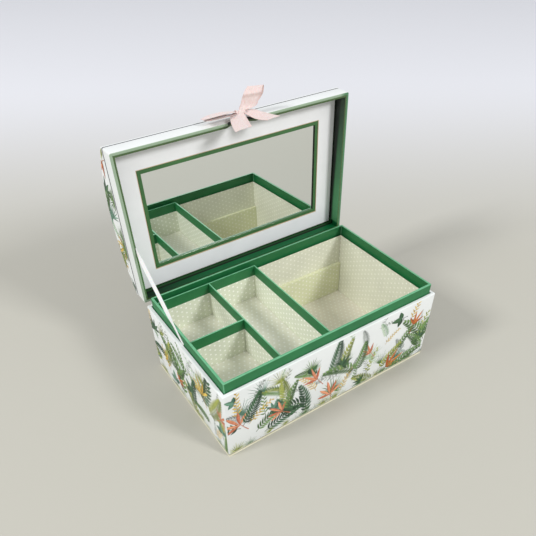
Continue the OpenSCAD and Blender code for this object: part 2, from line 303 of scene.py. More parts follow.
def gathers(folds, depth, knots):
    """Folds across a ribbon, deepest at the ends that a knot holds (0 the start, 1 the end)."""

    def lift(share, along):
        hold = max(math.exp(-abs(along - knot) * 7) for knot in knots)
        wave = math.sin(share * folds * 2 * math.pi + 0.6)
        cup = math.sin(share * math.pi) * 0.5
        return depth * MM * (wave * hold + cup * (1 - hold) * 0.6)

    return lift


def folded_top(share, along):
    """Folds of the standing loop: gathered at the knot, and a deep crease below its top."""
    crease = 1.3 * MM * math.exp(-((along - 0.33 - 0.06 * share) / 0.035) ** 2)
    return gathers(2, 0.8, (0, 1))(share, along) - crease


bow = []


def tie(piece, node):
    """Puts a finished ribbon into the bow in place of its frame solid."""
    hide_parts(node)
    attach(piece, "lid")
    bow.append(piece)
    print(piece.name, "is cut", round(piece["ribbon_length"] / MM), "mm long")


for name, node, held, creases, left, right in (
    ("bow_side_loop", "bow_loop_side", "folded", gathers(1.5, 0.3, (0, 1)),
     [(-1.4, -83.4, 89.6), (-9, -86, 87), (-18, -87, 84.8), (-28, -86.8, 84.8), (-35, -85.8, 87),
      (-37.6, -84.8, 89.4), (-35, -84, 87), (-28, -84.2, 84.8), (-18, -84, 84.8),
      (-10, -83.2, 87), (-1.4, -82.6, 90)],
     [(-1.4, -83.8, 93.6), (-9, -84, 98), (-18, -84.8, 98.2), (-27, -84.6, 98),
      (-34, -83.9, 97.4), (-36.5, -83.3, 97), (-34, -82.7, 97.2), (-27, -82.4, 98),
      (-18, -82.3, 98.2), (-10, -81.6, 98), (-1.4, -81.5, 93.6)]),
    ("bow_standing_loop", "bow_loop_standing", "folded", folded_top,
     [(2.5, -84, 94), (4.4, -86, 95), (6.2, -89.5, 95.6), (8.2, -94.5, 95.8), (11, -98.6, 96.2),
      (14.4, -101, 97), (16.2, -101.2, 98.4), (15.8, -99, 99.6), (12.6, -94.5, 99.2),
      (8.4, -89, 98.2), (3.6, -84.5, 96)],
     [(6.5, -83.6, 91.5), (13.5, -84.4, 91), (20, -86.4, 90.2), (23, -92, 90), (26, -97.6, 90.2),
      (28, -101.2, 90.8), (29.8, -101.5, 92.4), (31, -98.4, 93.8), (28.8, -92.4, 94),
      (21, -86.8, 94), (6.5, -84, 94)]),
    ("bow_left_tail", "bow_tail_left", "hung", gathers(1.5, 0.6, (0,)),
     [(-3, -83.4, 92.5), (-8.6, -82.4, 90.5), (-15, -81.2, 80), (-19.5, -80.6, 69),
      (-23.6, -80.6, 57.4)],
     [(3.4, -83.6, 91), (3.6, -82.8, 87), (1, -81.4, 77), (-2, -80.9, 68), (-5.2, -81, 59.2)]),
    ("bow_right_tail", "bow_tail_right", "hung", gathers(1.5, 0.7, (0,)),
     [(4.5, -82.6, 90.5), (6, -81.6, 85), (7.6, -80.7, 76), (10.6, -80.4, 69.5),
      (14.8, -80.6, 64.2)],
     [(8, -82.8, 93.5), (16.6, -82.8, 92.5), (22, -81.6, 82.5), (26, -81, 74), (30, -80.8, 66)]),
):
    tied = ribbon(name, on_lid(left), on_lid(right), SATIN_THICKNESS, creases=creases)
    tie(tied, node)

# %% [markdown]
# The knot is a short band of the same ribbon, drawn tight round the middle of the bow. A ball would
# give its size, but only a band between two ring-shaped edges gets the creases of gathered satin.

# %% Knot
KNOT_MIDDLE = Vector((1.6, -82.6, 91.8))
KNOT_HALF = 3.3
KNOT_REACH = 4.2
knot_turns = [2 * math.pi * i / 12 for i in range(13)]


def knot_edge(x, tilt):
    """One edge of the knot's band, a ring round the X axis."""
    return [
        (x + tilt * math.sin(a), KNOT_MIDDLE.y - KNOT_HALF * 0.9 * math.cos(a),
         KNOT_MIDDLE.z + KNOT_HALF * math.sin(a))
        for a in knot_turns
    ]


def knot_creases(share, along):
    """The knot's band swells in its middle and is creased along."""
    swell = 1.1 * math.sin(share * math.pi)
    crease = 0.28 * math.sin(share * 5 * math.pi + 2.2 * math.sin(along * 9))
    return (swell + crease) * MM


knot_edges = [
    on_lid(knot_edge(KNOT_MIDDLE.x - KNOT_REACH, 0.5), 4),
    on_lid(knot_edge(KNOT_MIDDLE.x + KNOT_REACH, -0.6), 4),
]
knot = ribbon("bow_knot_band", *knot_edges, SATIN_THICKNESS, across=14, creases=knot_creases)
tie(knot, "bow_knot")

# %% [markdown]
# The lid turns on a strip of white bookbinding cloth that is glued to the back wall and to the
# lid. The frame has it as two flaps that meet at the hinge line. Here it is one strip with a
# round fold.

# %% Hinge cloth
FLAP = 12 * MM
CLOTH_THICKNESS = 0.5 * MM
cloth_low, cloth_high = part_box("hinge_cloth_base")
cloth_y = cloth_low.y + CLOTH_THICKNESS / 2
fold_y = hinge_point.y - 0.45 * MM
base_profile = [(cloth_y, cloth_low.z + FLAP * share) for share in (0, 0.45, 0.8)]
base_profile.append((fold_y, hinge_point.z - 0.6 * MM))
lid_profile = [(cloth_y, hinge_point.z + FLAP * share) for share in (0.2, 0.55, 1)]
lid_profile.insert(0, (fold_y, hinge_point.z + 0.6 * MM))
cloth_edges = []
for x in (cloth_high.x, cloth_low.x):
    on_base = [Vector((x, y, z)) for y, z in base_profile]
    on_the_lid = [OPEN_LID @ Vector((x, y, z)) for y, z in lid_profile]
    cloth_edges.append(smooth_line(on_base + on_the_lid, 5))
cloth = ribbon("hinge_cloth_strip", *cloth_edges, CLOTH_THICKNESS * 0.9, across=40)
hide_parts("hinge_cloth_base", "hinge_cloth_lid")
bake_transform(cloth)

# %% [markdown]
# Each frame of boards is covered by one strip of paper that goes round its corners, so nothing
# shows of the mitres between the boards. The four boards are copied and merged, the faces inside
# the mitres are deleted, and the edges are rounded as paper rounds them. The tray's boards are
# single, so they only get their rounded edges. The grey keyline stands a little proud of the
# lid's wall, and the paper turned over the rim card makes that card thicker towards the inside.


# %% Paper-wrapped frames
RIM_CARD = 0.8 * MM


def wrapped_frame(name, nodes, radius, body, to_shut, proud, thicker):
    """Merged copies of a frame's four boards, with their long edges rounded.

    A proud cover stands out past its boards and is twice as tall, and a thicker one gains
    towards the inside. Both are in metres.
    """
    copies = [own_copy(boards[node], node + "_copy") for node in nodes]
    for copy in copies:
        copy.data.transform(to_shut)
    cover = joined(copies, name)
    bpy.ops.object.mode_set(mode="EDIT")
    bpy.ops.mesh.select_all(action="SELECT")
    bpy.ops.mesh.remove_doubles(threshold=MERGE)
    bpy.ops.mesh.dissolve_limited(angle_limit=FLAT_ANGLE)
    shape = bmesh.from_edit_mesh(cover.data)
    half = [max(v.co[i] for v in shape.verts) for i in range(2)]
    if thicker:
        bpy.ops.mesh.select_all(action="DESELECT")
        hollow = [h - RIM_CARD for h in half]
        for face in shape.faces:
            if all(abs(v.co[i]) < hollow[i] + 1e-5 for v in face.verts for i in range(2)):
                face.select_set(True)
        bmesh.update_edit_mesh(cover.data)
        narrower = [(h - thicker) / h for h in hollow]
        bpy.ops.transform.resize(value=(*narrower, 1), center_override=(0, 0, 0))
        shape = bmesh.from_edit_mesh(cover.data)
    for face in shape.faces:
        offs = [abs(abs(v.co.x) - half[0] - abs(v.co.y) + half[1]) for v in face.verts]
        face.select_set(max(offs) < 1e-5 and face.calc_area() > 1e-7)
    inside = sum(face.select for face in shape.faces)
    bpy.ops.mesh.delete(type="FACE")
    bpy.ops.mesh.select_all(action="SELECT")
    bpy.ops.mesh.remove_doubles(threshold=MERGE)
    bpy.ops.object.mode_set(mode="OBJECT")
    finish_with(
        cover, "BEVEL", width=radius, segments=3, limit_method="ANGLE", angle_limit=EDGE_ANGLE,
        use_clamp_overlap=False,
    )
    if proud:
        top = max(vertex.co.z for vertex in cover.data.vertices)
        wider = [(h + proud) / h for h in half]
        bpy.ops.transform.resize(value=(*wider, 2), center_override=(0, 0, top))
        bpy.ops.object.transform_apply(location=True, rotation=True, scale=True)
    cover.data.transform(to_shut.inverted())
    bpy.ops.object.shade_smooth_by_angle(angle=math.radians(35))
    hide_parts(*nodes)
    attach(cover, body)
    print(name, "has", len(cover.data.polygons), "faces,", inside, "mitre faces taken out")
    return cover


SIDES = ("front", "back", "left", "right")
STAND = Matrix.Identity(4)
covers = {}
for stem, radius, body, slot, to_shut, proud, thicker in (
    ("base_wall", 0.5, "base", "printed_paper", STAND, 0, 0),
    ("collar", 0.4, "base", "green_paper", STAND, 0, 0),
    ("lid_wall", 0.4, "lid", "printed_paper", SHUT_LID, 0, 0),
    ("rim_card", 0.12, "lid", "green_paper", SHUT_LID, 0, 0.8),
    ("keyline", 0.12, "lid", "grey_edge", SHUT_LID, 0.35, 0),
):
    nodes = [f"{stem}_{side}" for side in SIDES]
    covers[stem] = wrapped_frame(
        stem + "_cover", nodes, radius * MM, body, to_shut, proud * MM, thicker * MM
    )

# %% Rounded edges of the single boards
TRAY_BOARDS = (
    "insert_back", "insert_front", "insert_left", "divider_large", "divider_middle", "divider_short"
)
OTHER_BOARDS = ("insert_floor", "ledge_back", "ledge_front", "mirror_panel", "mirror_bezel")
for node in TRAY_BOARDS + OTHER_BOARDS:
    modified(boards[node], "WELD", merge_threshold=MERGE)
    modified(boards[node], "DECIMATE", decimate_type="DISSOLVE", angle_limit=FLAT_ANGLE)
    modified(boards[node], "BEVEL", width=0.25 * MM, segments=2, angle_limit=EDGE_ANGLE)
print(len(TRAY_BOARDS + OTHER_BOARDS), "single boards have rounded edges")

# %% [markdown]
# The ends of the arched lid are boards set inside the arch, with paper glued over both. A disc
# the size of the arch is cut down with bisects to the lid's outline and given the paper's
# thickness, so the joint under the paper is hidden, as it is on the real lid.

# %% Papers on the lid's ends
ARCH_FOOT = 1.6 * MM
PAPER_THICKNESS = 0.25 * MM
arch_low, arch_high = shut_box("lid_arch")
arch_half = arch_high.y
arch_rise = arch_high.z - arch_low.z - ARCH_FOOT
arch_radius = (arch_half**2 + arch_rise**2) / (2 * arch_rise)
arch_middle = arch_high.z - arch_radius
arch_span = 2 * math.asin(arch_half / arch_radius)
end_papers = []
for side, x in (("left", arch_low.x), ("right", arch_high.x)):
    bpy.ops.object.select_all(action="DESELECT")
    bpy.ops.mesh.primitive_circle_add(
        vertices=512, radius=arch_radius, fill_type="NGON", location=(x, 0, arch_middle),
        rotation=(0, math.pi / 2, 0),
    )
    paper = bpy.context.object
    paper.name = paper.data.name = "end_paper_" + side
    bpy.ops.object.transform_apply(location=True, rotation=True, scale=True)
    bpy.ops.object.mode_set(mode="EDIT")
    for place, facing in (
        ((x, 0, arch_low.z), (0, 0, -1)),
        ((x, arch_half, 0), (0, 1, 0)),
        ((x, -arch_half, 0), (0, -1, 0)),
    ):
        bpy.ops.mesh.select_all(action="SELECT")
        bpy.ops.mesh.bisect(plane_co=place, plane_no=facing, clear_outer=True)
    bpy.ops.mesh.select_all(action="SELECT")
    outward = math.copysign(PAPER_THICKNESS, x)
    bpy.ops.mesh.extrude_region_move(TRANSFORM_OT_translate={"value": (outward, 0, 0)})
    bpy.ops.mesh.select_all(action="SELECT")
    bpy.ops.mesh.normals_make_consistent(inside=False)
    bpy.ops.object.mode_set(mode="OBJECT")
    paper.data.transform(OPEN_LID)
    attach(paper, "lid")
    end_papers.append(paper)
print("arch radius", round(arch_radius / MM, 1), "mm")

# %% [markdown]
# Materials are built from nodes. A few helpers keep that readable. One adds a node with its
# inputs, which are numbers, colours or other nodes' outputs. A field is a number that the shader
# works out at every point of a surface, and arithmetic on fields adds Math nodes. A group holds
# an effect that several materials share.


# %% Tools for materials
def add(tree, kind, inputs=None, **options):
    """One shader node with its options and its inputs set or linked."""
    made = tree.nodes.new("ShaderNode" + kind)
    for option, value in options.items():
        setattr(made, option, value)
    for label, value in (inputs or {}).items():
        if isinstance(value, (Field, bpy.types.NodeSocket)):
            tree.links.new(getattr(value, "socket", value), made.inputs[label])
        else:
            made.inputs[label].default_value = value
    return made


class Field:
    """A number worked out at each point of a surface; arithmetic on it adds Math nodes."""

    def __init__(self, tree, socket):
        self.tree = tree
        self.socket = socket

    def math(self, operation, *others):
        """The field that a Math node makes of this one and the others."""
        inputs = dict(enumerate((self, *others)))
        return Field(self.tree, add(self.tree, "Math", inputs, operation=operation).outputs[0])

    def between(self, low, high):
        """A mask that goes smoothly from 0 at low to 1 at high; low may be the larger."""
        inputs = {"Value": self, "From Min": low, "From Max": high}
        mask = add(self.tree, "MapRange", inputs, interpolation_type="SMOOTHSTEP")
        return Field(self.tree, mask.outputs[0])

    def __add__(self, other):
        return self.math("ADD", other)

    def __sub__(self, other):
        return self.math("SUBTRACT", other)

    def __rsub__(self, other):
        return self * -1.0 + other

    def __mul__(self, other):
        return self.math("MULTIPLY", other)

    def __abs__(self):
        return self.math("ABSOLUTE")


def blended(share, a, b):
    """Two colours mixed by a share, which is a field."""
    return add(share.tree, "Mix", {0: share, 6: a, 7: b}, data_type="RGBA").outputs[2]


def scaled(tree, vector, scale):
    """A vector or a colour times a number."""
    return add(tree, "VectorMath", {0: vector, "Scale": scale}, operation="SCALE").outputs[0]


def axes(tree, vector):
    """The X, Y and Z fields of a vector."""
    return [Field(tree, axis) for axis in add(tree, "SeparateXYZ", {0: vector}).outputs]


def place_in(tree, shut=False):
    """The place on the piece in millimetres; shut turns a lid's place to the shut lid."""
    place = add(tree, "TexCoord").outputs["Object"]
    if shut:
        turn = {"Location": SHUT_LID.to_translation(), "Rotation": Vector(SHUT_LID.to_euler())}
        place = add(tree, "Mapping", {"Vector": place, **turn}).outputs[0]
    return scaled(tree, place, 1 / MM)


def noise(tree, scale, detail, roughness=0.5, place=None):
    """An uneven field, as fine as its scale per millimetre."""
    inputs = {"Scale": scale, "Detail": detail, "Roughness": roughness}
    inputs["Vector"] = place_in(tree) if place is None else place
    return Field(tree, add(tree, "TexNoise", inputs).outputs[0])


def group_of(name, inputs):
    """An empty node group, and what it is given under its inputs' names {name: default}."""
    tree = bpy.data.node_groups.new(name, "ShaderNodeTree")
    kinds = {float: "Float", Vector: "Vector", tuple: "Color"}
    for label, default in inputs.items():
        kind = "NodeSocket" + kinds[type(default)]
        socket = tree.interface.new_socket(name=label, in_out="INPUT", socket_type=kind)
        socket.default_value = default
    return tree, tree.nodes.new("NodeGroupInput").outputs


def give(tree, **outputs):
    """Ends a group with its named outputs: fields are numbers and the rest are colours."""
    for label, value in outputs.items():
        kind = "NodeSocket" + ("Float" if isinstance(value, Field) else "Color")
        tree.interface.new_socket(name=label, in_out="OUTPUT", socket_type=kind)
    result = tree.nodes.new("NodeGroupOutput").inputs
    for label, value in outputs.items():
        tree.links.new(getattr(value, "socket", value), result[label])
    print("group", tree.name)


def spaced(inputs):
    """Inputs under their sockets' labels, which have spaces for underscores."""
    return {name.replace("_", " "): value for name, value in inputs.items()}


def use(tree, group, **inputs):
    """The outputs of a group in a material."""
    return add(tree, "Group", spaced(inputs), node_tree=group).outputs


def start(name):
    """A new material and its empty node tree."""
    made = bpy.data.materials.new(name)
    made.use_nodes = True
    made.node_tree.nodes.clear()
    return made, made.node_tree


def close(tree, colour, roughness, height=None, bump=0.3, depth=0.1, **inputs):
    """Ends a material with a Principled shader and, for a height, a bump of depth millimetres."""
    inputs = {"Base_Color": colour, "Roughness": roughness, **inputs}
    if height is not None:
        relief = {"Height": height, "Strength": bump, "Distance": depth * MM}
        inputs["Normal"] = add(tree, "Bump", relief).outputs[0]
    shader = add(tree, "BsdfPrincipled", spaced(inputs))
    tree.links.new(shader.outputs[0], tree.nodes.new("ShaderNodeOutputMaterial").inputs[0])


def wear(pieces, material):
    """Gives pieces or frame boards this material alone."""
    for piece in pieces:
        if piece.material_slots:
            for place in piece.material_slots:
                place.material = material
        else:
            piece.data.materials.append(material)


# %% [markdown]
# Cover paper is never one flat colour. Its fibres make a very fine grain, and larger clouds come
# from the glue beneath it. One group gives both, as a varied colour and a height for the bump.

# %% Paper grain group
grain, given = group_of("Paper grain", {"Colour": (0.8, 0.8, 0.8, 1), "Fibre": 2.5, "Clouds": 0.05})
fibres = noise(grain, given["Fibre"], 4.0, 0.6)
shift = fibres * 0.5 + noise(grain, 0.045, 2.0) - 0.75
bright = shift * given["Clouds"] * 4.0 + 1.0
give(grain, Colour=scaled(grain, given["Colour"], bright), Height=fibres)

# %% [markdown]
# Faces that look along the group's direction get another tone. On most papers it is painted light:
# a painted highlight on the tops of the collar, the tray boards, the linings and the ledges, and
# painted shade on the bezel's left sides and the lid card's rim faces. On the lid wall's rim it is
# the colour of the paper turned in over it. Where cover paper is folded over a board's edge, its
# surface is stretched and scuffed. So the narrow rounded edges get the tone too, partly as that wear
# and partly as a painted highlight. The group finds those places from the surface's direction in
# the piece's own space: the faces, and the rounded edges, whose normals lie between the main
# directions.

# %% Facing light and edge wear group
folds, given = group_of(
    "Facing light and edge wear",
    {"Colour": (0.8, 0.8, 0.8, 1), "Fold Colour": (1, 1, 1, 1),
     "Fold Direction": Vector((0, 0, 1)), "Face Share": 0.8, "Edge Share": 0.6},
)
facing = add(folds, "TexCoord").outputs["Normal"]
towards = add(folds, "VectorMath", {0: facing, 1: given["Fold Direction"]}, operation="DOT_PRODUCT")
face = Field(folds, towards.outputs["Value"]).between(0.4, 0.6)
x, y, z = [abs(axis) for axis in axes(folds, facing)]
edge = x.math("MAXIMUM", y.math("MAXIMUM", z)).between(0.985, 0.94)
patchy = noise(folds, 0.25, 3.0).between(0.25, 0.6)
# The share is painted light on the faces, and wear with a painted highlight on the rounded edges.
share = (face * given["Face Share"]).math("MAXIMUM", edge * given["Edge Share"])
painted_light_and_wear = blended(share * (patchy * 0.25 + 0.75), given["Colour"], given["Fold Colour"])
give(folds, Colour=painted_light_and_wear, Face=face)

# %% [markdown]
# The compartments are lined with sage paper that is printed with small cream dots. The dots stand
# in a triangular lattice, which is two rectangular ones set half a step apart. The group works
# out the distance to the nearest dot in the plane of whichever board it is on, so the pattern
# lies flat on walls and floors alike.

# %% Dotted print group
DOT_SPACING = 6.2
DOT_RADIUS = 1.05
dots, given = group_of("Dotted print", {"Ground": (0.6, 0.6, 0.45, 1), "Dot": (0.8, 0.8, 0.7, 1)})
x, y, z = axes(dots, place_in(dots))
facing = [abs(axis) for axis in axes(dots, add(dots, "TexCoord").outputs["Normal"])]
looks_x = facing[0].math("GREATER_THAN", 0.6)
looks_z = facing[2].math("GREATER_THAN", 0.6)
level = x + looks_x.math("MAXIMUM", looks_z) * (y - x)
upright = z + looks_z * (x - z)
half_level = DOT_SPACING * math.sqrt(3) / 2
half_up = DOT_SPACING / 2
off_level = level.math("PINGPONG", half_level)
off_up = upright.math("PINGPONG", half_up)
nearest = [
    (a * a + b * b).math("SQRT")
    for a, b in ((off_level, off_up), (half_level - off_level, half_up - off_up))
]
dot = (nearest[0].math("MINIMUM", nearest[1]) - DOT_RADIUS).between(0.15, -0.15)
give(dots, Colour=blended(dot, given["Ground"], given["Dot"]))

# %% [markdown]
# Now the papers themselves. The collar's green paper has a painted mint highlight on the faces that
# look up. It also has a mint tone on its rounded edges, where it is folded over the boards; there it
# is partly wear and partly a painted highlight. The mirror's bezel has a greyer green one, with
# painted shade, almost black, on the sides that look to the left.

# %% Green papers
GREEN = paint(28, 110, 60)
MINT_HIGHLIGHT_AND_WEAR = paint(126, 196, 154)
LID_SHADE = paint(12, 22, 14)


def green_paper(name, colour, painted_tone, direction, face_share, edge_share):
    """Green cover paper with painted light, paler or darker, on the faces that look in one direction.
    """
    made, tree = start(name)
    base = use(tree, grain, Colour=colour, Fibre=1.6, Clouds=0.12)
    painted_light_and_wear = use(
        tree, folds, Colour=base["Colour"], Fold_Colour=painted_tone, Fold_Direction=direction,
        Face_Share=face_share, Edge_Share=edge_share,
    )
    close(tree, painted_light_and_wear["Colour"], 0.5, base["Height"], bump=0.25, depth=0.12)
    return made


# The collar's mint is a painted highlight on its tops, and wear with a painted highlight on its
# edges.
wear([covers["collar"]], green_paper("collar_green", GREEN, MINT_HIGHLIGHT_AND_WEAR, (0, 0, 1), 0.6, 0.55))
# Painted shade: the bezel's sides that look to the left are almost black.
bezel_green = green_paper("bezel_green", paint(60, 106, 58), LID_SHADE, (-1, 0, 0), 1.3, 0.0)
wear([boards["mirror_bezel"]], bezel_green)
print("green papers on the collar and the bezel")

# %% [markdown]
# The dotted paper lines every compartment. Its ground differs a little between the walls, floors,
# ledges and tray boards, so one function makes them all from a table. On the walls and ledges, the
# faces that look up get a plain cream tone as a painted highlight. The rounded edges share it, partly
# as wear. The tray boards have green paper folded over their top edge as well, with a painted mint
# highlight on top, which ends below in a pale cut edge.

# %% Dotted papers
SAGE = paint(224, 224, 205)
SAGE_HIGHLIGHT_AND_WEAR = paint(222, 222, 184)
CREAM_DOT = paint(244, 243, 230)
PALE_DOT = paint(253, 253, 245)
BAND_RIM = paint(226, 232, 214)
TRAY_BAND = 12.3
band_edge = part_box("insert_left")[1].z / MM - TRAY_BAND


def dotted_paper(name, banded, ground, top_highlight_share, dot):
    """Sage paper with cream dots and a painted highlight on the faces that look up; a banded board
    has green paper over its top edge.
    """
    made, tree = start(name)
    printed = use(tree, dots, Ground=ground, Dot=dot)
    lining = use(tree, grain, Colour=printed["Colour"], Fibre=2.0, Clouds=0.05)
    if banded:
        band = use(tree, grain, Colour=GREEN, Fibre=1.6, Clouds=0.12)
        # The mint on the band's top is a painted highlight; on its edges it is wear with a painted
        # highlight.
        painted_light_and_wear = use(tree, folds, Colour=band["Colour"], Fold_Colour=MINT_HIGHLIGHT_AND_WEAR, Face_Share=0.75)
        height = axes(tree, place_in(tree))[2] - band_edge
        below = blended(height.between(-0.7, -0.3), lining["Colour"], BAND_RIM)
        colour = blended(height.between(-0.05, 0.05), below, painted_light_and_wear["Colour"])
    else:
        # Painted highlight: the faces that look up take the top highlight tone.
        colour = use(
            tree, folds, Colour=lining["Colour"], Fold_Colour=SAGE_HIGHLIGHT_AND_WEAR, Face_Share=top_highlight_share,
            Edge_Share=0.5,
        )["Colour"]
    close(tree, colour, 0.5, lining["Height"], bump=0.2, depth=0.1)
    return made


for name, nodes, banded, ground, top_highlight_share, dot in (
    ("tray_paper", TRAY_BOARDS, True, paint(224, 227, 208), 0.55, PALE_DOT),
    ("lining_paper", [f"lining_{side}" for side in SIDES], False, SAGE, 0.55, CREAM_DOT),
    ("floor_paper", ["floor_card"], False, paint(230, 225, 208), 0.0, CREAM_DOT),
    ("tray_floor_paper", ["insert_floor"], False, paint(234, 233, 217), 0.0, PALE_DOT),
    ("ledge_paper", ["ledge_back", "ledge_front"], False, paint(224, 226, 190), 0.55, CREAM_DOT),
):
    wear([boards[n] for n in nodes], dotted_paper(name, banded, ground, top_highlight_share, dot))
print("dotted papers with a dot every", DOT_SPACING, "mm")

# %% [markdown]
# The outside is silk-matt white paper. The base stands on a cream board whose upper edge shows as
# a thin brown line.

# %% White, cream and grey papers
def plain_paper(name, colour, clouds=0.03, roughness=0.45):
    """Smooth cover paper of one colour."""
    made, tree = start(name)
    base = use(tree, grain, Colour=colour, Fibre=2.2, Clouds=clouds)
    close(tree, base["Colour"], roughness, base["Height"], bump=0.15, depth=0.1)
    return made


white_pieces = [boards[node] for node in ("lid_arch", "lid_end_left", "lid_end_right")]
white_pieces += [covers["base_wall"], *end_papers]
wear(white_pieces, plain_paper("white_paper", paint(230, 233, 232)))
wear([covers["keyline"]], plain_paper("grey_board_edge", paint(60, 63, 66), 0.1, 0.7))
wear([boards["mirror_backing"]], plain_paper("raw_greyboard", paint(150, 146, 136), 0.15, 0.85))

foot_paper, tree = start("foot_board_paper")
base = use(tree, grain, Colour=paint(228, 225, 200), Fibre=2.0, Clouds=0.08)
below_top = axes(tree, place_in(tree))[2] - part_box("base_board")[1].z / MM
colour = blended(below_top.between(-0.75, -0.45), base["Colour"], paint(150, 138, 104))
close(tree, colour, 0.5, base["Height"], bump=0.2)
wear([boards["base_board"]], foot_paper)
print("white paper on", len(white_pieces), "pieces")

# %% [markdown]
# The lid's walls are lined with green card. Its sides are painted with shade that deepens towards
# the front edge. Its back side is painted darker as shade, most of all at its left end. Where it is
# folded at the rim it is painted olive as shade. A band of painted shade, almost black, parts it
# from the panel, and at the back a dark olive strip of painted shade lies next to the panel. An
# image could hold these tones, but masks worked out from the place on the shut lid stay sharp from
# near by. The rim's direction is turned open, as the lid is.

# %% Green card inside the lid's walls
LID_GREEN = paint(84, 164, 106)
LID_FRONT_SHADE = paint(44, 74, 50)
LID_BACK_SHADED = paint(12, 94, 50)
LID_BACK_LEFT_SHADE = paint(4, 40, 20)
LID_RIM_SHADE = paint(72, 98, 52)
LID_FOOT_SHADE = paint(34, 70, 38)
RIM_DIRECTION = OPEN_LID.to_3x3() @ Vector((0, 0, -1))
card_paper, tree = start("lid_card_paper")
x, y, z = axes(tree, place_in(tree, shut=True))
card_half = shut_box("rim_card_back")[1].y / MM
at_back = y.between(card_half - 6, card_half - 3)
# Painted shade: the card's sides darken towards the front edge, the top of the open lid.
side_shaded = blended(y.between(-70, 60), LID_FRONT_SHADE, LID_GREEN)
# Painted shade: the card's back side is a darker green, darkest at its left end.
back_shaded = blended(x.between(-128, -40), LID_BACK_LEFT_SHADE, LID_BACK_SHADED)
tone = blended(at_back, side_shaded, back_shaded)
base = use(tree, grain, Colour=tone, Fibre=1.6, Clouds=0.12)
# Painted shade: the card's faces that look along the rim's direction are olive.
painted_light_and_wear = use(
    tree, folds, Colour=base["Colour"], Fold_Colour=LID_RIM_SHADE, Fold_Direction=RIM_DIRECTION,
    Face_Share=0.9, Edge_Share=0.0,
)["Colour"]
from_panel = shut_box("mirror_panel")[0].z / MM - z
# Painted shade beside the panel: an almost black band, widest towards the front edge.
side_panel_shade = (from_panel - y.between(60, -74) * 3.6 - 3.2).between(3.0, -1.0)
back_panel_shade = from_panel.between(3.2, 3.8) * from_panel.between(6.4, 5.4)
# This mask is the band of painted shade along the panel.
gap = side_panel_shade + at_back * (back_panel_shade - side_panel_shade)
# Painted shade: a dark olive strip next to the panel on the card's back side.
back_with_foot_shade = blended(from_panel.between(4.4, 3.6), painted_light_and_wear, LID_FOOT_SHADE)
colour = blended(gap, blended(at_back, painted_light_and_wear, back_with_foot_shade), LID_SHADE)
shine = at_back * -0.42 + 0.5
close(tree, colour, 0.42, base["Height"], bump=0.25, depth=0.12, Specular_IOR_Level=shine)
wear([covers["rim_card"]], card_paper)
print("the green card's back side is", round(card_half, 1), "mm behind the middle")

# %% [markdown]
# The lid's walls are white outside. Their paper is sage green where it is turned in over the rim,
# a deeper green on the right, and painted shade makes it almost black inside the thumb notch.

# %% Paper on the lid's walls
rim_paper, tree = start("lid_wall_paper")
# This white is a little darker than the other white paper: painted shade on the lid's strongly lit
# walls.
base = use(tree, grain, Colour=paint(225, 228, 227), Fibre=2.2, Clouds=0.03)
x, y, z = axes(tree, place_in(tree, shut=True))
turned_in = use(
    tree, folds, Colour=base["Colour"], Fold_Direction=RIM_DIRECTION, Face_Share=1.3,
    Fold_Colour=blended(x.between(118, 126), paint(150, 172, 146), paint(78, 128, 90)),
    Edge_Share=0.0,
)
# Painted shade: almost black inside the thumb notch.
notch_shade = (z - shut_box("lid_wall_back")[0].z / MM).between(0.5, 1.0) * turned_in["Face"]
colour = blended(notch_shade, turned_in["Colour"], LID_SHADE)
close(tree, colour, 0.45, base["Height"], bump=0.15)
wear([covers["lid_wall"]], rim_paper)
print("papers on", len(covers), "wrapped frames")

# %% [markdown]
# The panel round the mirror is off-white card with two thin gold lines, one at its outer edge and
# one round the mirror's frame. Their distance is measured on the shut lid. The mirror itself is a
# bare metallic surface, and a very even slope in its bump lets it lean back by less than a degree.

# %% Panel and mirror
GOLD = paint(198, 176, 142)
GOLD_WIDTH = 0.55


def beyond(node, place):
    """How far a place lies outside a lid board's rectangle on the shut lid, in millimetres."""
    low, high = [corner / MM for corner in shut_box(node)]
    away = [abs(place[i] - (low[i] + high[i]) / 2) - (high[i] - low[i]) / 2 for i in range(2)]
    return away[0].math("MAXIMUM", away[1])


panel_card, tree = start("panel_card")
base = use(tree, grain, Colour=paint(241, 241, 243), Fibre=1.8, Clouds=0.03)
place = axes(tree, place_in(tree, shut=True))
inner_line = beyond("mirror_bezel", place).between(GOLD_WIDTH + 0.5, GOLD_WIDTH + 0.2)
outer_line = beyond("mirror_panel", place).between(-GOLD_WIDTH - 0.3, -GOLD_WIDTH) * 0.45
colour = blended(inner_line.math("MAXIMUM", outer_line), base["Colour"], GOLD)
close(tree, colour, 0.45, base["Height"], bump=0.12)
wear([boards["mirror_panel"]], panel_card)

mirror, tree = start("silvered_mirror")
lean = axes(tree, place_in(tree))[2] * -0.012
close(tree, paint(232, 235, 234), 0.015, lean, bump=1.0, depth=1.0, Metallic=1.0)
wear([boards["mirror_glass"]], mirror)
print("gold lines are", GOLD_WIDTH, "mm wide")

# %% [markdown]
# Ribbons and cloth are woven. Satin shows the fine threads that run along it, and its sheen comes
# from the shader. Both finishes read the ribbon's UV map, which is in millimetres, so threads keep
# their size and follow every bend.


